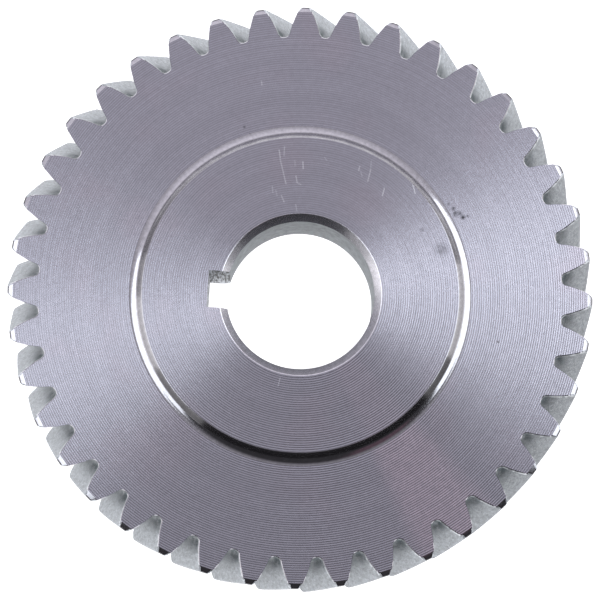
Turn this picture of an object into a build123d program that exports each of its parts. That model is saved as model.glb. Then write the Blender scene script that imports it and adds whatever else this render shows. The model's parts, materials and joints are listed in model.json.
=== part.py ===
from build123d import *
import math
import os

# A helical gear: a toothed ring on a keyed hub whose low boss stands out of the front face.
# The origin is the centre of the back face, +Z runs along the bore towards the boss,
# and the keyway points to -X. Millimetres and degrees.

# Teeth
tooth_count = 40
normal_module = 1.8
helix_angle = 17.5              # right-hand
normal_pressure_angle = 22.5
outside_diameter = 79.0
whole_depth = 4.15
tooth_share = 0.487             # tooth thickness over circular pitch, on the pitch circle
root_fillet = 0.75
tooth_clocking = 2.7            # turn of a tooth at the front face, away from the keyway's line
tip_chamfer_radial = 0.75
tip_chamfer_axial = 0.4

# Ring and hub
face_width = 14.0
joint_radius = 23.05            # where the ring's hole sits on the hub
joint_lead_in = 0.3             # small bevel on both pieces at the back of the joint
boss_height = 1.0
boss_face_radius = 21.35
boss_foot_radius = 1.6          # hollow arc that climbs from the joint to the boss's edge bevel
boss_foot_turn = 44.0           # how far that arc turns before the bevel takes over

# Bore and keyway
bore_radius = 10.0
bore_bevel = 0.95               # at 45 degrees, on both faces
keyway_width = 5.0
keyway_floor_radius = 12.5
keyway_corner = 0.25

# Worked out from the above
helix_slope = math.tan(math.radians(helix_angle))
pitch_radius = normal_module * tooth_count / (2 * math.cos(math.radians(helix_angle)))
pressure_angle = math.atan(
    math.tan(math.radians(normal_pressure_angle)) / math.cos(math.radians(helix_angle))
)
base_radius = pitch_radius * math.cos(pressure_angle)
tip_radius = outside_diameter / 2
root_radius = tip_radius - whole_depth
tooth_pitch = 2 * math.pi / tooth_count
total_length = face_width + boss_height

# The twisted blank is longer and wider than the ring, so that the turned faces cut it cleanly
blank_margin = 1.0
blank_tip_radius = tip_radius + 0.4
flank_points = 7


def involute(angle):
    return math.tan(angle) - angle


def polar(radius, angle):
    return Vector(radius * math.cos(angle), radius * math.sin(angle))


def half_thickness(radius):
    """Half of the angle that a tooth spans at a radius."""
    at_pitch = tooth_share * tooth_pitch / 2
    roll = math.acos(base_radius / radius)
    return at_pitch + involute(pressure_angle) - involute(roll)


def fillet_centre(radius):
    """Centre of a root fillet that touches the flank of the tooth at angle 0 at a radius."""
    roll = math.acos(base_radius / radius)
    flank_angle = half_thickness(radius)
    normal_angle = flank_angle - roll + math.pi / 2
    return polar(radius, flank_angle) + polar(root_fillet, normal_angle)


def fillet_start():
    """Radius on the flank where the root fillet begins, found by halving."""
    low = root_radius
    high = root_radius + 3 * root_fillet
    for _ in range(50):
        middle = (low + high) / 2
        if fillet_centre(middle).length < root_radius + root_fillet:
            low = middle
        else:
            high = middle
    return high


def half_tooth():
    """Points of one flank and its root fillet, for a tooth at angle 0, on its left side."""
    start = fillet_start()
    step = (blank_tip_radius - start) / (flank_points - 1)
    radii = [blank_tip_radius - index * step for index in range(flank_points)]
    flank = [polar(radius, half_thickness(radius)) for radius in radii]
    centre = fillet_centre(start)
    foot = centre * (root_radius / centre.length)
    towards_middle = ((flank[-1] - centre) + (foot - centre)).normalized()
    return flank, centre + towards_middle * root_fillet, foot


def turned(point, angle, mirror=1):
    return Vector(point.X, mirror * point.Y).rotate(Axis.Z, math.degrees(angle))


def tooth_outline():
    """The whole toothed outline, counter-clockwise, with tooth 0 centred on +X."""
    flank, fillet_middle, foot = half_tooth()
    tip = Vector(blank_tip_radius, 0)
    valley = polar(root_radius, tooth_pitch / 2)
    edges = []
    for index in range(tooth_count):
        turn = index * tooth_pitch
        rising = [turned(point, turn, -1) for point in reversed(flank)]
        falling = [turned(point, turn) for point in flank]
        next_foot = turned(foot, turn + tooth_pitch, -1)
        next_middle = turned(fillet_middle, turn + tooth_pitch, -1)
        next_flank = turned(flank[-1], turn + tooth_pitch, -1)
        edges.append(Edge.make_spline(rising))
        edges.append(Edge.make_three_point_arc(rising[-1], turned(tip, turn), falling[0]))
        edges.append(Edge.make_spline(falling))
        edges.append(
            Edge.make_three_point_arc(falling[-1], turned(fillet_middle, turn), turned(foot, turn))
        )
        edges.append(Edge.make_three_point_arc(turned(foot, turn), turned(valley, turn), next_foot))
        edges.append(Edge.make_three_point_arc(next_foot, next_middle, next_flank))
    return Wire(edges)


def twisted_teeth():
    """The outline swept along the helix, past both faces of the ring."""
    length = face_width + 2 * blank_margin
    twist = math.degrees(length * helix_slope / pitch_radius)
    front_margin_twist = math.degrees(blank_margin * helix_slope / pitch_radius)
    back_turn = 180 + tooth_clocking + front_margin_twist - twist
    outline = tooth_outline().rotate(Axis.Z, back_turn).moved(Location((0, 0, -blank_margin)))
    return Solid.extrude_linear_with_rotation(
        outline, (0, 0, -blank_margin), (0, 0, length), twist
    )


def turned_solid(points):
    """A solid of revolution about the bore, from radius and height pairs."""
    outline = Polyline(*[(radius, 0, height) for radius, height in points], close=True)
    return revolve(make_face(outline), Axis.Z)


def toothed_ring():
    chamfer_radius = tip_radius - tip_chamfer_radial
    envelope = turned_solid([
        (joint_radius + joint_lead_in, 0),
        (chamfer_radius, 0),
        (tip_radius, tip_chamfer_axial),
        (tip_radius, face_width - tip_chamfer_axial),
        (chamfer_radius, face_width),
        (joint_radius, face_width),
        (joint_radius, joint_lead_in),
    ])
    return envelope & twisted_teeth()


def keyway_tool():
    """A bar with rounded outer corners that cuts the keyway through the whole hub."""
    bar = Box(
        keyway_floor_radius, keyway_width, total_length + 2,
        align=(Align.MAX, Align.CENTER, Align.MIN),
    ).moved(Location((0, 0, -1)))
    far_edges = bar.edges().filter_by(Axis.Z).group_by(Axis.X)[0]
    return fillet(far_edges, keyway_corner)


def foot_point(turn):
    """A point of the boss's foot, after the arc has turned by some degrees from the joint."""
    angle = math.radians(turn)
    radius = joint_radius - boss_foot_radius * math.sin(angle)
    height = face_width + boss_foot_radius * (1 - math.cos(angle))
    return radius, 0, height


def keyed_hub():
    bevel_radius = bore_radius + bore_bevel
    profile = [
        Line((bevel_radius, 0, 0), (joint_radius - joint_lead_in, 0, 0)),
        Line((joint_radius - joint_lead_in, 0, 0), (joint_radius, 0, joint_lead_in)),
        Line((joint_radius, 0, joint_lead_in), (joint_radius, 0, face_width)),
        ThreePointArc(foot_point(0), foot_point(boss_foot_turn / 2), foot_point(boss_foot_turn)),
        Polyline(
            foot_point(boss_foot_turn),
            (boss_face_radius, 0, total_length),
            (bevel_radius, 0, total_length),
            (bore_radius, 0, total_length - bore_bevel),
            (bore_radius, 0, bore_bevel),
            (bevel_radius, 0, 0),
        ),
    ]
    blank = revolve(make_face(Curve() + profile), Axis.Z)
    return blank - keyway_tool()


def write(name, shape):
    export_step(shape, os.path.join("parts", name + ".step"))
    print(name, "volume", round(shape.volume, 1), "valid", shape.is_valid)


os.makedirs("parts", exist_ok=True)
write("toothed_ring", toothed_ring())
write("keyed_hub", keyed_hub())
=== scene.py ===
import json
import math

import bmesh
import bpy
from mathutils import Matrix, Vector


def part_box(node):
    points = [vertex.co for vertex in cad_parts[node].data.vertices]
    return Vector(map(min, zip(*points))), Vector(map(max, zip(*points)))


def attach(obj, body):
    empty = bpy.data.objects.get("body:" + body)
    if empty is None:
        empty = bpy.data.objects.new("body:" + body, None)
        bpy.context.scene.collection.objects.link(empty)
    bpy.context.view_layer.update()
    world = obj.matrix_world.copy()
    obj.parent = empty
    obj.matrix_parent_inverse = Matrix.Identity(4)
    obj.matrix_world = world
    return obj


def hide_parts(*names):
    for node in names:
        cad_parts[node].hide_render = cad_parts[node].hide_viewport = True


# A right-hand helical gear of turned steel: a toothed ring and a keyed hub, both rebuilt here as
# finer meshes in the CAD model's frame, with concentric turning marks on the faces and matt teeth.

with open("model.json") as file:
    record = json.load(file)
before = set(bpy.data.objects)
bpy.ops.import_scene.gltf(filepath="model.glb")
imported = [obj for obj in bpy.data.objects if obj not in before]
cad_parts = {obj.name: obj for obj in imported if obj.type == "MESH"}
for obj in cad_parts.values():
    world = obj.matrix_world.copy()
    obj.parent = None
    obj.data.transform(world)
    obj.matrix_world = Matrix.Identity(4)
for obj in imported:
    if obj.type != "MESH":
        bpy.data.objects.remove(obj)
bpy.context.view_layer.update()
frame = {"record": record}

MM = 0.001

# ---------------------------------------------------------------- sizes, in metres

ring_low, ring_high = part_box("toothed_ring")
hub_low, hub_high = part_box("keyed_hub")
mounts = {mount["name"]: mount for mount in frame["record"]["mounts"]}

TIP_RADIUS = (ring_high.x - ring_low.x + ring_high.y - ring_low.y) / 4
FACE_WIDTH = ring_high.z
HUB_LENGTH = hub_high.z
JOINT_RADIUS = (hub_high.x - hub_low.x + hub_high.y - hub_low.y) / 4
BORE_RADIUS = mounts["bore"]["dims"]["r_mm"] * MM

TOOTH_COUNT = 40
NORMAL_MODULE = 1.8 * MM
NORMAL_PRESSURE_ANGLE = math.radians(22.5)
HELIX_ANGLE = math.radians(17.5)
TOOTH_DEPTH = 4.15 * MM
HELIX_SLOPE = math.tan(HELIX_ANGLE)
PITCH_RADIUS = NORMAL_MODULE * TOOTH_COUNT / (2 * math.cos(HELIX_ANGLE))
PRESSURE_ANGLE = math.atan(math.tan(NORMAL_PRESSURE_ANGLE) / math.cos(HELIX_ANGLE))
BASE_RADIUS = PITCH_RADIUS * math.cos(PRESSURE_ANGLE)
ROOT_RADIUS = TIP_RADIUS - TOOTH_DEPTH
ROOT_FILLET = 0.75 * MM
TIP_ROUNDING = 0.36 * MM
EDGE_BREAK = 0.08 * MM
SHOULDER_ROUNDING = 0.4 * MM
JOINT_BREAK = 0.03 * MM
TOOTH_PITCH = 2 * math.pi / TOOTH_COUNT
# Tooth thickness over tooth pitch, on the pitch circle
TOOTH_SHARE = 0.487
# Turn of a tooth at the front face, away from the keyway's line
TOOTH_CLOCKING = math.radians(2.7)
TIP_CHAMFER_RADIAL = 0.75 * MM
TIP_CHAMFER_AXIAL = 0.4 * MM

BOSS_FACE_RADIUS = 21.35 * MM
BOSS_FOOT_RADIUS = 1.6 * MM
BOSS_FOOT_TURN = math.radians(44)
BORE_BEVEL = 0.95 * MM
JOINT_LEAD_IN = 0.3 * MM
KEYWAY_HALF_WIDTH = 2.5 * MM
KEYWAY_FLOOR = 12.5 * MM


# ---------------------------------------------------------------- node helpers

# Noise seldom leaves this range
NOISE_LOW = 0.3
NOISE_HIGH = 0.7
# A quarter turn, so that light spreads across the turning marks and not along them
TANGENT_TURN = 0.25


class Tree:
    """Adds shader nodes to a material with short calls; a value may be a number or a socket."""

    def __init__(self, name):
        self.material = bpy.data.materials.new(name)
        self.material.use_nodes = True
        self.tree = self.material.node_tree
        self.tree.nodes.clear()

    def node(self, kind, **settings):
        node = self.tree.nodes.new(kind)
        for key, value in settings.items():
            setattr(node, key, value)
        return node

    def put(self, socket, value):
        if isinstance(value, bpy.types.NodeSocket):
            self.tree.links.new(value, socket)
        else:
            socket.default_value = value

    def math(self, operation, first, second=0.0, clamp=False):
        node = self.node("ShaderNodeMath", operation=operation, use_clamp=clamp)
        for socket, value in zip(node.inputs, (first, second)):
            self.put(socket, value)
        return node.outputs[0]

    def times(self, first, *others):
        """The product of two or more values."""
        product = first
        for other in others:
            product = self.math("MULTIPLY", product, other)
        return product

    def map_range(self, value, low, high, to_low, to_high, smooth=False):
        node = self.node("ShaderNodeMapRange")
        node.interpolation_type = "SMOOTHSTEP" if smooth else "LINEAR"
        for key, number in zip(
            ("Value", "From Min", "From Max", "To Min", "To Max"),
            (value, low, high, to_low, to_high),
        ):
            self.put(node.inputs[key], number)
        return node.outputs["Result"]

    def vary(self, noise, to_low, to_high):
        """A noise spread over the range from to_low to to_high."""
        return self.map_range(noise, NOISE_LOW, NOISE_HIGH, to_low, to_high)

    def noise(self, vector, scale, detail=2.0, roughness=0.5):
        node = self.node("ShaderNodeTexNoise")
        self.put(node.inputs["Vector"], vector)
        self.put(node.inputs["Scale"], scale)
        self.put(node.inputs["Detail"], detail)
        self.put(node.inputs["Roughness"], roughness)
        return node.outputs["Fac"]

    def mix(self, factor, first, second, blend="MIX"):
        """A mix of two colours, which are the node's inputs 6 and 7 and its output 2."""
        node = self.node("ShaderNodeMix", data_type="RGBA", blend_type=blend)
        self.put(node.inputs[0], factor)
        self.put(node.inputs[6], first)
        self.put(node.inputs[7], second)
        return node.outputs[2]

    def darkened(self, color, shade):
        """A colour times a grey value."""
        return self.mix(1.0, color, self.combine(shade, shade, shade), "MULTIPLY")

    def combine(self, x, y, z):
        node = self.node("ShaderNodeCombineXYZ")
        for socket, value in zip(node.inputs, (x, y, z)):
            self.put(socket, value)
        return node.outputs[0]

    def position(self):
        """x, y and z of a point of the part, in millimetres."""
        coordinates = self.node("ShaderNodeTexCoord")
        split = self.node("ShaderNodeSeparateXYZ")
        self.put(split.inputs[0], coordinates.outputs["Object"])
        return [self.math("MULTIPLY", axis, 1 / MM) for axis in split.outputs]

    def length(self, x, y):
        return self.math("SQRT", self.math("ADD", self.times(x, x), self.times(y, y)))

    def bump(self, height, strength, distance):
        node = self.node("ShaderNodeBump")
        self.put(node.inputs["Strength"], strength)
        self.put(node.inputs["Distance"], distance)
        self.put(node.inputs["Height"], height)
        return node.outputs["Normal"]

    def steel(self, color, roughness, metallic=1.0, normal=None, anisotropy=0.0):
        """Ends the material in one metal shader."""
        shader = self.node("ShaderNodeBsdfPrincipled")
        self.put(shader.inputs["Base Color"], color)
        self.put(shader.inputs["Metallic"], metallic)
        self.put(shader.inputs["Roughness"], roughness)
        if anisotropy:
            self.put(shader.inputs["Anisotropic"], anisotropy)
            self.put(shader.inputs["Anisotropic Rotation"], TANGENT_TURN)
            tangent = self.node("ShaderNodeTangent", direction_type="RADIAL", axis="Z")
            self.put(shader.inputs["Tangent"], tangent.outputs[0])
        if normal is not None:
            self.put(shader.inputs["Normal"], normal)
        output = self.node("ShaderNodeOutputMaterial")
        self.put(output.inputs["Surface"], shader.outputs[0])
        return self.material


# ---------------------------------------------------------------- materials
# Lengths here are millimetres, as Tree.position gives them; only a bump's distance is metres.

FRONT = FACE_WIDTH / MM

# Scratches on the front faces: both ends in millimetres from the bore's axis, and how bright
SCRATCHES = [
    (-4.1, 19.4, -3.9, 18.4, 0.9),
    (-3.4, 19.9, -3.4, 18.7, 0.6),
    (-3.9, 18.2, -2.9, 14.9, 0.7),
    (-0.8, 18.0, -0.7, 17.1, 1.0),
    (-1.9, 18.1, -1.8, 17.4, 0.4),
    (-1.6, 16.0, -1.4, 15.1, 0.8),
    (-1.4, 15.1, -0.9, 14.9, 0.6),
    (6.9, 17.9, 6.8, 17.3, 0.8),
    (7.1, 17.1, 7.3, 16.6, 0.5),
    (8.4, 18.7, 8.4, 17.6, 0.4),
    (8.4, 17.5, 8.1, 15.9, 0.8),
    (10.4, 15.1, 10.2, 14.1, 1.0),
    (-4.7, 14.4, -4.6, 13.6, 0.5),
    (-4.2, 13.9, -4.0, 13.2, 0.4),
    (-3.4, 13.2, -3.0, 12.4, 0.7),
    (-1.4, 12.1, -1.2, 11.3, 0.5),
    (2.1, 18.8, 2.4, 18.4, 0.4),
    (14.2, 15.9, 14.6, 14.7, 1.0),
    (-2.0, -11.4, -2.2, -12.5, 0.5),
    (-7.1, 28.8, -7.0, 28.3, 0.6),
]
SCRATCH_WIDTH = 0.14
SCRATCH_COLOR = (0.95, 0.95, 1.0, 1)

# Dark smudges: centre, radius and darkness
SMUDGES = [
    (19.2, 13.7, 0.35, 0.4),
    (19.9, 13.1, 0.45, 0.7),
    (20.3, 12.4, 0.6, 0.8),
    (20.9, 12.5, 0.5, 0.6),
    (21.3, 12.0, 0.5, 0.9),
    (21.9, 12.2, 0.35, 0.5),
    (18.6, 7.3, 1.5, 0.4),
    (15.8, 9.8, 0.5, 0.3),
    (-9.0, 22.4, 0.3, 0.5),
    (27.0, -4.6, 0.25, 0.6),
]


def scratch_mask(t, x, y, scratch):
    """A scratch's brightness along its line, fading to 0 at SCRATCH_WIDTH from it."""
    start_x, start_y, end_x, end_y, brightness = scratch
    run_x = end_x - start_x
    run_y = end_y - start_y
    length_squared = run_x * run_x + run_y * run_y
    from_x = t.math("SUBTRACT", x, start_x)
    from_y = t.math("SUBTRACT", y, start_y)
    along = t.math("ADD", t.times(from_x, run_x), t.times(from_y, run_y))
    share = t.math("DIVIDE", along, length_squared, clamp=True)
    off_x = t.math("SUBTRACT", from_x, t.times(share, run_x))
    off_y = t.math("SUBTRACT", from_y, t.times(share, run_y))
    return t.map_range(t.length(off_x, off_y), 0.0, SCRATCH_WIDTH, brightness, 0.0)


def smudge_shade(t, x, y, smudge, wobble):
    """How much light a smudge leaves, broken up by noise."""
    centre_x, centre_y, reach, darkness = smudge
    distance = t.length(t.math("SUBTRACT", x, centre_x), t.math("SUBTRACT", y, centre_y))
    mask = t.map_range(distance, 0.0, reach, darkness, 0.0, True)
    return t.math("SUBTRACT", 1.0, t.times(mask, wobble))


# Spacing of the turning marks, and the factor that sets the height of their bump
TURNING_PITCH = 0.303
SCALLOP_DEPTH = 0.06
FACE_COLOR = (0.530, 0.520, 0.585, 1)
BLUSH_COLOR = (0.560, 0.505, 0.570, 1)
# Colour of a painted reflection on the web, and the direction from the axis in which it lies
PAINTED_REFLECTION_COLOR = (0.77, 0.655, 0.74, 1)
PAINTED_REFLECTION_DIRECTION = (0.602, -0.799)
FACE_ROUGHNESS = 0.27
FACE_ANISOTROPY = 0.8


def face_tone_and_reflection(t, x, y, z, radius, grain):
    """The faces' grey, with faint pinkish patches and a painted reflection: one paler, pinker
    wedge of the web that runs from the boss out to the teeth, between +X and -Y."""
    patches = t.noise(t.combine(x, y, z), 0.09, 2.0)
    blush = t.map_range(patches, 0.5, 0.7, 0.0, 0.4, True)
    tone = t.mix(blush, FACE_COLOR, BLUSH_COLOR)
    # Painted reflection: a paler, pinker wedge of the web between +X and -Y
    toward_x, toward_y = PAINTED_REFLECTION_DIRECTION
    along = t.math("ADD", t.times(t.math("DIVIDE", x, radius), toward_x),
                   t.times(t.math("DIVIDE", y, radius), toward_y))
    reflection_mask = t.map_range(along, 0.982, 0.9985, 0.0, 1.0, True)
    reflection_on_web = t.map_range(radius, 22.2, 23.6, 0.3, 1.0, True)
    return t.mix(t.times(reflection_mask, reflection_on_web, t.vary(grain, 0.4, 0.7)), tone, PAINTED_REFLECTION_COLOR)


def turned_steel():
    """Faces cut on a lathe: fine concentric marks that spread light across them, with painted
    shade in the marks towards -Y and -X, a painted reflection on the web and the odd scratch and
    smudge at the front."""
    t = Tree("turned_steel")
    x, y, z = t.position()
    radius = t.length(x, y)
    angle = t.math("ARCTAN2", y, x)
    toward_x = t.math("DIVIDE", x, radius)
    toward_y = t.math("DIVIDE", y, radius)
    turns = t.math("DIVIDE", radius, TURNING_PITCH)
    phase = t.math("SUBTRACT", t.math("FRACT", turns), 0.5)

    # The marks are cut a little deeper towards -Y
    depth = t.map_range(toward_y, -0.6, 0.9, 1.25 * SCALLOP_DEPTH, 0.5 * SCALLOP_DEPTH, True)
    scallop = t.times(phase, phase, depth)
    groove = t.map_range(t.math("ABSOLUTE", phase), 0.1, 0.5, 0.0, 1.0, True)
    # Painted shade: the marks darken the colour more towards -Y and towards -X than towards +Y
    painted_groove_shade = t.math("ADD", t.map_range(toward_y, -0.8, 0.6, 0.5, 0.13, True),
                      t.map_range(toward_x, -1.0, -0.5, 0.14, 0.0, True))
    grooves = t.math("SUBTRACT", 1.08, t.times(groove, painted_groove_shade))

    # No two marks are quite alike, and none is the same all round
    ring_noise = t.noise(t.combine(turns, 0.0, 0.0), 0.9, 3.0)
    slow_rings = t.noise(t.combine(t.times(turns, 0.12), 0.0, 0.0), 1.0, 2.0)
    around = t.combine(t.math("COSINE", angle), t.math("SINE", angle), t.times(radius, 0.7))
    streaks = t.noise(around, 6.0, 3.0, 0.6)
    grain = t.noise(t.combine(x, y, z), 1.6, 3.0, 0.7)
    shade = t.times(grooves, t.vary(ring_noise, 0.93, 1.05), t.vary(slow_rings, 0.96, 1.03),
                    t.vary(streaks, 0.96, 1.03), t.vary(grain, 0.95, 1.05))

    # Scratches and smudges are on the web and the boss, not on the back face
    on_front = t.math("GREATER_THAN", z, FRONT - 1)
    wobble = t.times(on_front, t.map_range(grain, 0.35, 0.6, 0.4, 1.3))
    for smudge in SMUDGES:
        shade = t.times(shade, smudge_shade(t, x, y, smudge, wobble))
    color = t.darkened(face_tone_and_reflection(t, x, y, z, radius, grain), shade)

    scratched = 0.0
    for scratch in SCRATCHES:
        scratched = t.math("MAXIMUM", scratched, scratch_mask(t, x, y, scratch))
    color = t.mix(t.times(scratched, on_front, 0.9), color, SCRATCH_COLOR)

    normal = t.bump(t.math("ADD", scallop, t.times(ring_noise, 0.002)), 1.0, MM)
    return t.steel(color, FACE_ROUGHNESS, normal=normal, anisotropy=FACE_ANISOTROPY)


FLANK_COLOR = (0.45, 0.47, 0.495, 1)
# Colour of the painted shade in the roots
ROOT_SHADE_COLOR = (0.10, 0.14, 0.16, 1)
# Colour of a painted highlight along the teeth's front edges
EDGE_HIGHLIGHT_COLOR = (0.95, 0.97, 1.0, 1)
# How far the painted shade in the roots reaches up the flanks, and how far it reaches in from the
# front
ROOT_SHADE_RISE = 2.4
ROOT_SHADE_RUN = 6


def hobbed_steel():
    """Tooth flanks and roots, left matt and faintly mottled by the hob, with painted shade and
    highlight.
    """
    t = Tree("hobbed_steel")
    x, y, z = t.position()
    radius = t.length(x, y)
    root = ROOT_RADIUS / MM
    point = t.combine(x, y, t.times(z, 0.4))
    mottle = t.noise(point, 2.2, 4.0, 0.7)
    fine = t.noise(point, 5.5, 3.0, 0.7)

    # Painted shade: the roots darken in blotches, most near the front face
    deep = t.map_range(radius, root, root + ROOT_SHADE_RISE, 1.0, 0.0, True)
    near = t.map_range(z, FRONT - ROOT_SHADE_RUN, FRONT - 0.5, 0.3, 1.0, True)
    patchy = t.map_range(t.noise(point, 1.1, 3.0, 0.7), 0.4, 0.56, 0.25, 1.15)
    root_shade = t.times(deep, near, patchy)
    # Painted shade: the flanks towards +X are a little darker
    dull = t.map_range(t.math("DIVIDE", x, radius), 0.55, 0.9, 1.0, 0.76, True)
    shade = t.times(t.math("SUBTRACT", 1.0, root_shade), t.map_range(mottle, 0.36, 0.64, 0.72, 1.15),
                    t.vary(fine, 0.66, 1.22), dull)
    color = t.mix(t.times(root_shade, 0.65), t.darkened(FLANK_COLOR, shade), ROOT_SHADE_COLOR)

    # Painted highlight: a thin, torn, paler band runs along the front edges
    edge_highlight = t.map_range(z, FRONT - 0.7, FRONT - 0.25, 0.0, 0.6, True)
    torn = t.map_range(t.noise(point, 1.1, 2.0, 0.6), 0.45, 0.56, 0.1, 1.0)
    color = t.mix(t.times(edge_highlight, torn), color, EDGE_HIGHLIGHT_COLOR)

    normal = t.bump(t.math("ADD", mottle, t.times(fine, 0.6)), 1.0, 0.14 * MM)
    return t.steel(color, t.vary(fine, 0.42, 0.6), metallic=0.85, normal=normal)


EDGE_COLOR = (0.60, 0.585, 0.62, 1)
# Tool marks on the boss's foot: radius, half width and the share of light left at the middle
FOOT_MARKS = [(21.95, 0.16, 0.82), (21.75, 0.5, 0.7)]


def edge_steel():
    """Chamfers, bevels, the boss's foot and the outer diameter, turned smoother than the faces."""
    t = Tree("edge_steel")
    x, y, z = t.position()
    radius = t.length(x, y)
    mottle = t.noise(t.combine(x, y, z), 2.0, 4.0, 0.65)
    # Painted shade: the outer diameter is darkened
    rim = TIP_RADIUS / MM
    shade = t.times(t.vary(mottle, 0.82, 1.06),
                    t.map_range(radius, rim - 0.26, rim - 0.12, 1.0, 0.2, True))
    for mark_radius, half_width, darkest in FOOT_MARKS:
        away = t.math("ABSOLUTE", t.math("SUBTRACT", radius, mark_radius))
        shade = t.times(shade, t.map_range(away, 0.0, half_width, darkest, 1.0, True))
    # The bore's bevels are paler and less smooth
    bevel = t.math("LESS_THAN", radius, (BORE_RADIUS + BORE_BEVEL) / MM + 0.5)
    shade = t.times(shade, t.map_range(bevel, 0.0, 1.0, 1.0, 1.4))
    return t.steel(t.darkened(EDGE_COLOR, shade), t.map_range(bevel, 0.0, 1.0, 0.13, 0.26))


BORE_COLOR = (0.27, 0.29, 0.31, 1)


def bore_steel():
    """The bore: dull, with faint rings and clouds."""
    t = Tree("bore_steel")
    x, y, z = t.position()
    rings = t.noise(t.combine(t.times(x, 0.12), t.times(y, 0.12), z), 5.0, 4.0, 0.6)
    cloud = t.noise(t.combine(x, y, t.times(z, 0.5)), 1.2, 4.0, 0.7)
    color = t.darkened(BORE_COLOR, t.times(t.vary(rings, 0.75, 1.15), t.vary(cloud, 0.6, 1.3)))
    return t.steel(color, 0.55, metallic=0.4, normal=t.bump(rings, 0.5, 0.05 * MM))


KEYWAY_COLOR = (0.56, 0.58, 0.62, 1)


def broached_steel():
    """Keyway walls, torn in streaks along the broach's travel."""
    t = Tree("broached_steel")
    x, y, z = t.position()
    streaks = t.noise(t.combine(x, y, t.times(z, 0.1)), 2.4, 3.0, 0.7)
    color = t.darkened(KEYWAY_COLOR, t.map_range(streaks, 0.44, 0.56, 0.05, 1.15))
    return t.steel(color, 0.5, metallic=0.85, normal=t.bump(streaks, 0.9, 0.25 * MM))


# ---------------------------------------------------------------- mesh helpers

# Edges that turn more than this are sharp
SHARP_ANGLE = math.radians(17)


def new_piece(name, vertices, faces, slots, materials):
    """A mesh object with one material index for each face, smooth up to its real edges."""
    mesh = bpy.data.meshes.new(name)
    mesh.from_pydata(vertices, [], faces)
    for material in materials:
        mesh.materials.append(material)
    mesh.polygons.foreach_set("material_index", slots)
    work = bmesh.new()
    work.from_mesh(mesh)
    bmesh.ops.recalc_face_normals(work, faces=work.faces)
    work.to_mesh(mesh)
    work.free()
    piece = bpy.data.objects.new(name, mesh)
    bpy.context.scene.collection.objects.link(piece)
    mesh.polygons.foreach_set("use_smooth", [True] * len(mesh.polygons))
    mesh.set_sharp_from_angle(angle=SHARP_ANGLE)
    weighted = piece.modifiers.new("face_normals", "WEIGHTED_NORMAL")
    weighted.keep_sharp = True
    return piece


def strip(faces, slots, lower, upper, slot, closed=True):
    """Quads between two rows of vertex numbers of the same length."""
    count = len(lower)
    for index in range(count if closed else count - 1):
        after = (index + 1) % count
        faces.append((lower[index], lower[after], upper[after], upper[index]))
        slots.append(slot)


def eased(before, corner, after, radius, slot, steps=5):
    """Section points of a small arc that replaces a corner; all points are radius and height."""
    corner = Vector(corner)
    to_before = (Vector(before) - corner).normalized()
    to_after = (Vector(after) - corner).normalized()
    half = to_before.angle(to_after) / 2
    reach = radius / math.tan(half)
    centre = corner + (to_before + to_after).normalized() * (radius / math.sin(half))
    first = corner + to_before * reach - centre
    sweep = first.angle_signed(corner + to_after * reach - centre)
    points = []
    for step in range(steps + 1):
        arm = Matrix.Rotation(-sweep * step / steps, 2) @ first
        points.append((centre.x + arm.x, centre.y + arm.y, slot))
    return points


# ---------------------------------------------------------------- toothed ring

FLANK_STEPS = 14
FILLET_STEPS = 5
TIP_STEPS = 6
ROUNDING_STEPS = 5
BODY_STEPS = 18
# Points of half a tooth, from its tip rounding to its fillet's foot
HALF_POINTS = ROUNDING_STEPS + FLANK_STEPS + FILLET_STEPS + 1
# Points on a valley's floor, before a tooth begins
FLOOR_POINTS = 2
# The faces' outer rings of quads turn from the teeth's spacing to an even one in this many rings
EVENING_RINGS = 3
WEB_RADII = [33 * MM, 30 * MM, 27 * MM, 24.5 * MM]
# Halvings of a bracket when a tangent point is searched for
HALVINGS = 50
# The ring's material slots
FACE, FLANK, EDGE = 0, 1, 2


def involute(angle):
    return math.tan(angle) - angle


def half_thickness(radius):
    """Half of the angle that a tooth spans at a radius."""
    roll = math.acos(BASE_RADIUS / radius)
    return TOOTH_SHARE * TOOTH_PITCH / 2 + involute(PRESSURE_ANGLE) - involute(roll)


def on_circle(radius, angle, height):
    return (radius * math.cos(angle), radius * math.sin(angle), height)


def polar(radius, angle):
    return Vector(on_circle(radius, angle, 0))


def fillet_centre(radius):
    """Centre of a root fillet that touches the flank at a radius."""
    roll = math.acos(BASE_RADIUS / radius)
    flank_angle = half_thickness(radius)
    return polar(radius, flank_angle) + polar(ROOT_FILLET, flank_angle - roll + math.pi / 2)


def fillet_start():
    """Radius on the flank where the root fillet begins, found by halving."""
    low = ROOT_RADIUS
    high = ROOT_RADIUS + 3 * ROOT_FILLET
    for _ in range(HALVINGS):
        middle = (low + high) / 2
        if fillet_centre(middle).length < ROOT_RADIUS + ROOT_FILLET:
            low = middle
        else:
            high = middle
    return high


def rounding_centre(radius):
    """Centre of a small tip rounding that touches the flank at a radius."""
    roll = math.acos(BASE_RADIUS / radius)
    flank_angle = half_thickness(radius)
    return polar(radius, flank_angle) + polar(TIP_ROUNDING, flank_angle - roll - math.pi / 2)


def rounding_end(outer_radius):
    """Radius on the flank where the tip rounding begins, found by halving."""
    low = outer_radius - 4 * TIP_ROUNDING
    high = outer_radius
    for _ in range(HALVINGS):
        middle = (low + high) / 2
        if rounding_centre(middle).length < outer_radius - TIP_ROUNDING:
            low = middle
        else:
            high = middle
    return low


def arc_points(centre, first, last, radius, steps):
    """Radius and angle pairs along an arc between two directions from its centre."""
    points = []
    for step in range(steps + 1):
        arm = first.normalized().slerp(last.normalized(), step / steps) * radius
        point = centre + arm
        points.append((point.length, math.atan2(point.y, point.x)))
    return points


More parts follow.
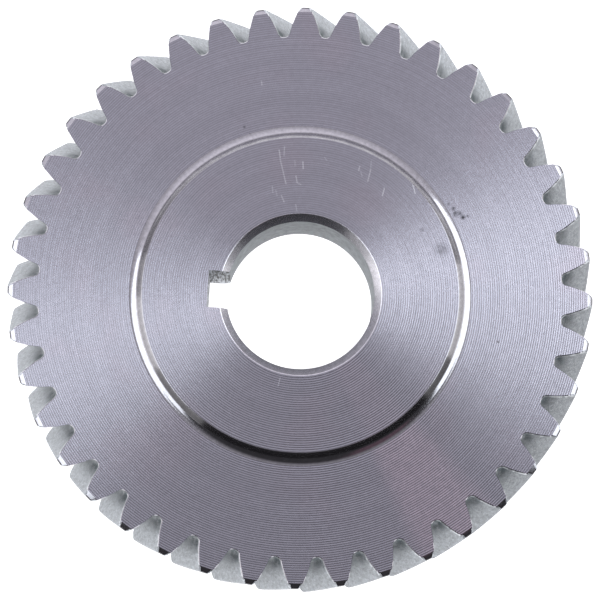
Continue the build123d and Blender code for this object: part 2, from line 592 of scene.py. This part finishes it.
def half_profile(outer_radius):
    """Radius and angle pairs from a tooth's tip down its left flank to the fillet's foot."""
    top = rounding_end(outer_radius)
    centre = rounding_centre(top)
    touch = polar(top, half_thickness(top)) - centre
    points = arc_points(centre, centre, touch, TIP_ROUNDING, ROUNDING_STEPS)
    start = fillet_start()
    for step in range(1, FLANK_STEPS + 1):
        radius = top + (start - top) * step / FLANK_STEPS
        points.append((radius, half_thickness(radius)))
    centre = fillet_centre(start)
    touch = polar(start, half_thickness(start)) - centre
    points += arc_points(centre, touch, -centre, ROOT_FILLET, FILLET_STEPS)[1:]
    return points


def tooth_profile(outer_radius):
    """One pitch of the outline from one valley's middle up to the next, which it leaves out."""
    down = half_profile(outer_radius)
    tip_angle = down[0][1]
    foot_angle = down[-1][1]
    valley = TOOTH_PITCH / 2
    profile = [(ROOT_RADIUS, -valley), (ROOT_RADIUS, -(valley + foot_angle) / 2)]
    profile += [(radius, -angle) for radius, angle in reversed(down)]
    for step in range(1, TIP_STEPS):
        profile.append((outer_radius, tip_angle * (2 * step / TIP_STEPS - 1)))
    profile += down
    profile.append((ROOT_RADIUS, (valley + foot_angle) / 2))
    return profile


def shoulder():
    """Depth and outer radius from a face to the full outside diameter: a flat chamfer, then a
    rounding."""
    corner = (TIP_RADIUS, TIP_CHAMFER_AXIAL)
    on_face = (TIP_RADIUS - TIP_CHAMFER_RADIAL, 0.0)
    section = eased(on_face, corner, (TIP_RADIUS, FACE_WIDTH), SHOULDER_ROUNDING, EDGE)
    slope = TIP_CHAMFER_RADIAL / TIP_CHAMFER_AXIAL
    rows = [(0.0, on_face[0]), (EDGE_BREAK, on_face[0] + EDGE_BREAK * slope)]
    return rows + [(depth, radius) for radius, depth, _ in section]


def drawn_in(profile, inset):
    """The outline moved into the metal for a broken edge, by less and less near the tip."""
    points = [polar(radius, angle) for radius, angle in profile]
    before = [polar(profile[-1][0], profile[-1][1] - TOOTH_PITCH)] + points[:-1]
    after = points[1:] + [polar(profile[0][0], profile[0][1] + TOOTH_PITCH)]
    tip = max(radius for radius, _ in profile)
    moved = []
    for point, last, following in zip(points, before, after):
        along = (following - last).normalized()
        share = min(1.0, (tip - point.length) / TIP_ROUNDING)
        point = point + Vector((-along.y, along.x, 0)) * inset * share
        moved.append((point.length, math.atan2(point.y, point.x)))
    return moved


def tooth_level(vertices, height, outer_radius):
    """Adds the whole outline at a height; returns its vertex numbers and how many a tooth has."""
    twist = (height - FACE_WIDTH) * HELIX_SLOPE / PITCH_RADIUS
    start = math.pi + TOOTH_CLOCKING + twist
    profile = tooth_profile(outer_radius)
    if height in (0.0, FACE_WIDTH):
        profile = drawn_in(profile, EDGE_BREAK)
    first = len(vertices)
    for tooth in range(TOOTH_COUNT):
        for radius, angle in profile:
            turn = start + tooth * TOOTH_PITCH + angle
            vertices.append(on_circle(radius, turn, height))
    return list(range(first, len(vertices))), len(profile)


def tooth_cap(faces, slots, rise, fall, tip, up):
    """The flat end of one tooth: quads between its two sides, then one face along its tip."""
    for index in range(HALF_POINTS - 1):
        quad = (rise[index], fall[index], fall[index + 1], rise[index + 1])
        faces.append(tuple(reversed(quad)) if up else quad)
        slots.append(FACE)
    end = tuple([rise[-1], fall[-1]] + list(reversed(tip)))
    faces.append(tuple(reversed(end)) if up else end)
    slots.append(FACE)


def ring_cap(vertices, faces, slots, row, per_tooth, inner_radii, height, up):
    """A flat toothed face: across each tooth, then rings of quads down to the hole. Returns the
    hole's vertex numbers and by how many steps the even spacing was turned."""
    base = []
    rise_end = FLOOR_POINTS + HALF_POINTS
    fall_start = rise_end + TIP_STEPS - 1
    for tooth in range(TOOTH_COUNT):
        local = row[tooth * per_tooth:(tooth + 1) * per_tooth]
        rise = local[FLOOR_POINTS:rise_end]
        fall = list(reversed(local[fall_start:fall_start + HALF_POINTS]))
        tooth_cap(faces, slots, rise, fall, local[rise_end:fall_start], up)
        base += [local[0], local[1], rise[0], fall[0], local[-1]]
    step = 2 * math.pi / len(base)
    natural = [math.atan2(vertices[number][1], vertices[number][0]) for number in base]
    shift = round(math.remainder(natural[0] - math.pi, 2 * math.pi) / step)
    outer = base
    for place, radius in enumerate(inner_radii):
        evenness = min(1.0, (place + 1) / EVENING_RINGS)
        inner = []
        for index, angle in enumerate(natural):
            even = math.pi + (index + shift) * step
            turn = angle + evenness * math.remainder(even - angle, 2 * math.pi)
            inner.append(len(vertices))
            vertices.append(on_circle(radius, turn, height))
        strip(faces, slots, outer if up else inner, inner if up else outer, FACE)
        outer = inner
    return outer, shift


def body_levels():
    """Height and outer radius of each outline, from the back face to the front one."""
    ends = shoulder()
    low = ends[-1][0]
    span = FACE_WIDTH - 2 * low
    body = [(low + span * step / BODY_STEPS, TIP_RADIUS) for step in range(1, BODY_STEPS)]
    return ends + body + [(FACE_WIDTH - depth, radius) for depth, radius in reversed(ends)]


def make_ring(face_material, flank_material, edge_material):
    vertices = []
    faces = []
    slots = []
    rows = []
    for height, outer_radius in body_levels():
        row, per_tooth = tooth_level(vertices, height, outer_radius)
        rows.append(row)
    tip_first = FLOOR_POINTS + HALF_POINTS - 1
    for number, (lower, upper) in enumerate(zip(rows, rows[1:])):
        count = len(lower)
        on_break = number in (0, len(rows) - 2)
        for index in range(count):
            after = (index + 1) % count
            on_tip = tip_first <= index % per_tooth < tip_first + TIP_STEPS
            faces.append((lower[index], lower[after], upper[after], upper[index]))
            slots.append(EDGE if on_tip or on_break else FLANK)

    front_radii = WEB_RADII + [JOINT_RADIUS + JOINT_BREAK]
    back_radii = WEB_RADII + [JOINT_RADIUS + JOINT_LEAD_IN]
    front, front_shift = ring_cap(
        vertices, faces, slots, rows[-1], per_tooth, front_radii, FACE_WIDTH, True
    )
    back, back_shift = ring_cap(vertices, faces, slots, rows[0], per_tooth, back_radii, 0.0, False)

    # The hole's wall starts from the back, turned so that its points stand under the front's
    turned_by = (front_shift - back_shift) % len(back)
    back = back[turned_by:] + back[:turned_by]
    wall = back
    for height in (JOINT_LEAD_IN, FACE_WIDTH - JOINT_BREAK):
        row = []
        for number in back:
            point = Vector(vertices[number]) * (JOINT_RADIUS / (JOINT_RADIUS + JOINT_LEAD_IN))
            row.append(len(vertices))
            vertices.append((point.x, point.y, height))
        strip(faces, slots, row, wall, EDGE)
        wall = row
    strip(faces, slots, front, wall, EDGE)
    return new_piece(
        "ring_of_teeth", vertices, faces, slots, [face_material, flank_material, edge_material]
    )


# ---------------------------------------------------------------- keyed hub

HUB_STEPS = 220
SLOT_STEPS = 8
FOOT_STEPS = 10
BORE_STEPS = 8
RIM_ROUNDING = 0.2 * MM
BOSS_EDGE_ROUNDING = 0.1 * MM
# Circles of points on the hub's faces, from the keyway's corners outwards
HUB_RADII = [14.5 * MM, 17 * MM, 19.5 * MM]
# The hub's material slots; its faces and edges have the ring's FACE and EDGE
BORE, KEYWAY = 1, 3


def hub_profile():
    """Radius, height and material of the hub's section: first from the back up the bore to the
    front, then out over the boss, down its foot and the joint, and in along the back."""
    corner = math.hypot(KEYWAY_FLOOR, KEYWAY_HALF_WIDTH)
    rim = BORE_RADIUS + BORE_BEVEL
    bore_top = HUB_LENGTH - BORE_BEVEL
    inner = [(corner, 0.0, FACE)]
    inner += eased((corner, 0), (rim, 0), (BORE_RADIUS, BORE_BEVEL), RIM_ROUNDING, EDGE)
    span = bore_top - BORE_BEVEL
    for step in range(BORE_STEPS):
        inner.append((BORE_RADIUS, BORE_BEVEL + span * step / BORE_STEPS, BORE))
    inner.append((BORE_RADIUS, BORE_BEVEL + span, EDGE))
    top_rim = (rim, HUB_LENGTH)
    inner += eased((BORE_RADIUS, bore_top), top_rim, (corner, HUB_LENGTH), RIM_ROUNDING, EDGE)
    inner[-1] = inner[-1][:2] + (FACE,)
    inner.append((corner, HUB_LENGTH, FACE))

    outer = [(radius, HUB_LENGTH, FACE) for radius in HUB_RADII]
    foot = []
    for step in range(FOOT_STEPS + 1):
        turn = BOSS_FOOT_TURN * (1 - step / FOOT_STEPS)
        radius = JOINT_RADIUS - BOSS_FOOT_RADIUS * math.sin(turn)
        foot.append((radius, FACE_WIDTH + BOSS_FOOT_RADIUS * (1 - math.cos(turn)), EDGE))
    edge = (BOSS_FACE_RADIUS, HUB_LENGTH)
    outer += eased((HUB_RADII[-1], HUB_LENGTH), edge, foot[0][:2], BOSS_EDGE_ROUNDING, EDGE)
    outer += foot
    outer.append((JOINT_RADIUS, JOINT_LEAD_IN, EDGE))
    outer.append((JOINT_RADIUS - JOINT_LEAD_IN, 0.0, FACE))
    outer += [(radius, 0.0, FACE) for radius in reversed(HUB_RADII)]
    return inner, outer


def make_hub(face_material, bore_material, edge_material, broached_material):
    vertices = []
    faces = []
    slots = []
    inner, outer = hub_profile()
    corner = inner[0][0]
    opening = math.asin(KEYWAY_HALF_WIDTH / corner)

    def open_row(radius, height):
        """Round the hub, from one wall of the keyway to the other; the keyway is at angle pi."""
        edge = math.asin(KEYWAY_HALF_WIDTH / radius)
        first = len(vertices)
        for step in range(HUB_STEPS + 1):
            turn = math.pi + edge + (2 * math.pi - 2 * edge) * step / HUB_STEPS
            vertices.append(on_circle(radius, turn, height))
        return list(range(first, len(vertices)))

    def floor_row(start, end, height):
        """Across the keyway's floor, between two corners that exist already."""
        row = [end]
        for step in range(1, SLOT_STEPS):
            y = KEYWAY_HALF_WIDTH * (1 - 2 * step / SLOT_STEPS)
            row.append(len(vertices))
            vertices.append((-KEYWAY_FLOOR, y, height))
        row.append(start)
        return row

    def full_row(radius, height):
        """A whole circle, with the same steps as an open row and the floor row that closes it."""
        first = len(vertices)
        for step in range(HUB_STEPS):
            turn = math.pi + opening + (2 * math.pi - 2 * opening) * step / HUB_STEPS
            vertices.append(on_circle(radius, turn, height))
        for step in range(SLOT_STEPS):
            turn = math.pi - opening + 2 * opening * step / SLOT_STEPS
            vertices.append(on_circle(radius, turn, height))
        return list(range(first, len(vertices)))

    rows = [open_row(radius, height) for radius, height, _ in inner]
    last_row = len(rows) - 1
    for index in range(last_row):
        strip(faces, slots, rows[index], rows[index + 1], inner[index][2], closed=False)
    back_floor = floor_row(rows[0][0], rows[0][-1], inner[0][1])
    front_floor = floor_row(rows[-1][0], rows[-1][-1], inner[-1][1])
    # The floor's rows between the faces follow the bore's heights, so that the walls are quads
    corners = []
    for index, (radius, height, _) in enumerate(inner):
        if radius != BORE_RADIUS:
            continue
        low = len(vertices)
        vertices.append((-KEYWAY_FLOOR, -KEYWAY_HALF_WIDTH, height))
        high = len(vertices)
        vertices.append((-KEYWAY_FLOOR, KEYWAY_HALF_WIDTH, height))
        corners.append((index, low, high, floor_row(low, high, height)))
    # Each rung holds its row's number, its two floor corners and its row across the floor. On the
    # faces the corners are also the ends of the rows, and count only once
    back_rung = (0, rows[0][0], rows[0][-1], back_floor)
    front_rung = (last_row, rows[-1][0], rows[-1][-1], front_floor)
    ladder = [back_rung] + corners + [front_rung]
    for (one, low, high, row), (two, low_after, high_after, row_after) in zip(ladder, ladder[1:]):
        strip(faces, slots, row_after, row, KEYWAY, closed=False)
        between = rows[max(one, 1):min(two, last_row - 1) + 1]
        near = [ends[0] for ends in between]
        far = [ends[-1] for ends in between]
        faces.append(tuple([low_after, low] + near))
        faces.append(tuple([high, high_after] + list(reversed(far))))
        slots += [KEYWAY, KEYWAY]
    # Whole circles out over the boss, down its foot and the joint, and in along the back
    circles = [full_row(radius, height) for radius, height, _ in outer]
    chain_slots = [FACE] + [slot for _, _, slot in outer]
    front_edge = rows[-1][:-1] + front_floor[:-1]
    back_edge = rows[0][:-1] + back_floor[:-1]
    chain = [front_edge] + circles + [back_edge]
    for lower, upper, slot in zip(chain, chain[1:], chain_slots):
        strip(faces, slots, lower, upper, slot)
    return new_piece(
        "hub_with_keyway", vertices, faces, slots,
        [face_material, bore_material, edge_material, broached_material],
    )


# ---------------------------------------------------------------- floor, light and camera

FLOOR_REACH = 1.5
FLOOR_DROP = 0.2 * MM
FLOOR_COLOR = (0.6, 0.6, 0.6, 1)
FLOOR_GLOW = 1.0


def make_floor():
    """A plain pale floor just under the part, bright enough to look white."""
    mesh = bpy.data.meshes.new("floor")
    signs = ((-1, -1), (1, -1), (1, 1), (-1, 1))
    corners = [(x * FLOOR_REACH, y * FLOOR_REACH, 0) for x, y in signs]
    mesh.from_pydata(corners, [], [(0, 1, 2, 3)])
    t = Tree("floor_paper")
    shader = t.node("ShaderNodeBsdfPrincipled")
    t.put(shader.inputs["Base Color"], FLOOR_COLOR)
    t.put(shader.inputs["Roughness"], 0.9)
    t.put(shader.inputs["Emission Color"], (1, 1, 1, 1))
    t.put(shader.inputs["Emission Strength"], FLOOR_GLOW)
    output = t.node("ShaderNodeOutputMaterial")
    t.put(output.inputs["Surface"], shader.outputs[0])
    mesh.materials.append(t.material)
    floor = bpy.data.objects.new("floor", mesh)
    floor.location.z = -FLOOR_DROP
    bpy.context.scene.collection.objects.link(floor)


PANEL_DISTANCE = 0.6


def panel(name, azimuth, low, high, radiance, color, half_angle):
    """An upright light beside the part, between two heights, that faces the bore's axis."""
    width = 2 * PANEL_DISTANCE * math.tan(math.radians(half_angle))
    data = bpy.data.lights.new(name, "AREA")
    data.shape = "RECTANGLE"
    data.size = width
    data.size_y = high - low
    data.energy = radiance * math.pi * width * (high - low)
    data.color = color
    light = bpy.data.objects.new(name, data)
    turn = math.radians(azimuth)
    side = Vector((math.cos(turn), math.sin(turn), 0))
    light.location = side * PANEL_DISTANCE + Vector((0, 0, (low + high) / 2))
    light.rotation_euler = side.to_track_quat("Z", "Y").to_euler()
    light.visible_camera = False
    bpy.context.scene.collection.objects.link(light)


WHITE = (1, 1, 1)
DAYLIGHT = (0.91, 0.97, 1.02)
ROSE = (1.0, 0.5, 0.7)
# Azimuth, low and high edge, radiance, colour and half angle of each light. Close to the floor
# the narrow ones stand in the middle of the wide ones, so that the light fades towards its ends
PANELS = [
    ("right_panel", 10, 0.27, 1.0, 2.0, DAYLIGHT, 35),
    ("right_top_panel", 18, 1.0, 2.3, 2.1, DAYLIGHT, 24.5),
    ("right_low_panel", 6, 0.01, 0.26, 0.2, WHITE, 36),
    ("right_low_core", 6, 0.01, 0.26, 0.2, WHITE, 26),
    ("right_low_heart", 4, 0.01, 0.26, 0.75, WHITE, 17),
    ("left_low_panel", 199, 0.01, 0.26, 0.32, WHITE, 34),
    ("left_low_core", 199, 0.01, 0.26, 0.34, WHITE, 25),
    ("left_low_heart", 192, 0.01, 0.26, 0.65, WHITE, 14),
    ("left_panel", 193, 0.27, 0.9, 1.7, DAYLIGHT, 31),
    ("left_top_panel", 190, 0.9, 2.2, 1.75, DAYLIGHT, 22),
    ("rose_card", 308, 0.4, 1.6, 0.08, ROSE, 12),
]
SKY_DIRECTION = (-0.3, 0.954, 0.0)
SKY_COLOR = (0.97, 0.945, 1.04, 1)


def make_world():
    """Grey surroundings, light towards +Y, dark towards -Y and dimmer near the horizon; the
    camera itself sees them pale."""
    world = bpy.data.worlds.new("studio")
    world.use_nodes = True
    nodes = world.node_tree.nodes
    links = world.node_tree.links
    background = nodes["Background"]
    background.inputs["Color"].default_value = SKY_COLOR
    coordinates = nodes.new("ShaderNodeTexCoord")

    facing = nodes.new("ShaderNodeVectorMath")
    facing.operation = "DOT_PRODUCT"
    facing.inputs[1].default_value = SKY_DIRECTION
    links.new(coordinates.outputs["Generated"], facing.inputs[0])
    sky = nodes.new("ShaderNodeMapRange")
    sky.inputs["From Min"].default_value = -0.45
    sky.inputs["From Max"].default_value = 1.0
    sky.inputs["To Min"].default_value = 0.045
    sky.inputs["To Max"].default_value = 1.08
    links.new(facing.outputs["Value"], sky.inputs["Value"])

    height = nodes.new("ShaderNodeSeparateXYZ")
    links.new(coordinates.outputs["Generated"], height.inputs[0])
    haze = nodes.new("ShaderNodeMapRange")
    haze.inputs["From Max"].default_value = 0.4
    haze.inputs["To Min"].default_value = 0.25
    links.new(height.outputs["Z"], haze.inputs["Value"])
    shade = nodes.new("ShaderNodeMath")
    shade.operation = "MULTIPLY"
    links.new(sky.outputs["Result"], shade.inputs[0])
    links.new(haze.outputs["Result"], shade.inputs[1])

    path = nodes.new("ShaderNodeLightPath")
    seen = nodes.new("ShaderNodeMix")
    seen.inputs["B"].default_value = 1.0
    links.new(path.outputs["Is Camera Ray"], seen.inputs["Factor"])
    links.new(shade.outputs["Value"], seen.inputs["A"])
    links.new(seen.outputs["Result"], background.inputs["Strength"])
    bpy.context.scene.world = world


def make_lights():
    for settings in PANELS:
        panel(*settings)
    make_world()


def make_camera():
    """Nearly square on to the front face, leaning a little towards -Y."""
    azimuth = math.radians(-3.39)
    elevation = math.radians(83.62)
    roll = math.radians(-7.05)
    distance = 489 * MM
    focal_length = 217.7
    aim = Vector((0, -0.65 * MM, FACE_WIDTH))
    back = Vector((
        math.sin(azimuth) * math.cos(elevation),
        -math.cos(azimuth) * math.cos(elevation),
        math.sin(elevation),
    ))
    right = Vector((0, 0, 1)).cross(back).normalized()
    up = back.cross(right)
    rolled_right = right * math.cos(roll) - up * math.sin(roll)
    rolled_up = right * math.sin(roll) + up * math.cos(roll)
    data = bpy.data.cameras.new("camera")
    data.lens = focal_length
    data.clip_start = 0.01
    camera = bpy.data.objects.new("camera", data)
    axes = Matrix((rolled_right, rolled_up, back)).transposed().to_4x4()
    camera.matrix_world = Matrix.Translation(aim + back * distance) @ axes
    bpy.context.scene.collection.objects.link(camera)
    bpy.context.scene.camera = camera


# ---------------------------------------------------------------- the scene

make_camera()
turned = turned_steel()
edges = edge_steel()

ring = make_ring(turned, hobbed_steel(), edges)
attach(ring, "root")
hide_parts("toothed_ring")

hub = make_hub(turned, bore_steel(), edges, broached_steel())
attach(hub, "root")
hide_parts("keyed_hub")

make_floor()
make_lights()
bpy.context.scene.view_settings.view_transform = "Standard"
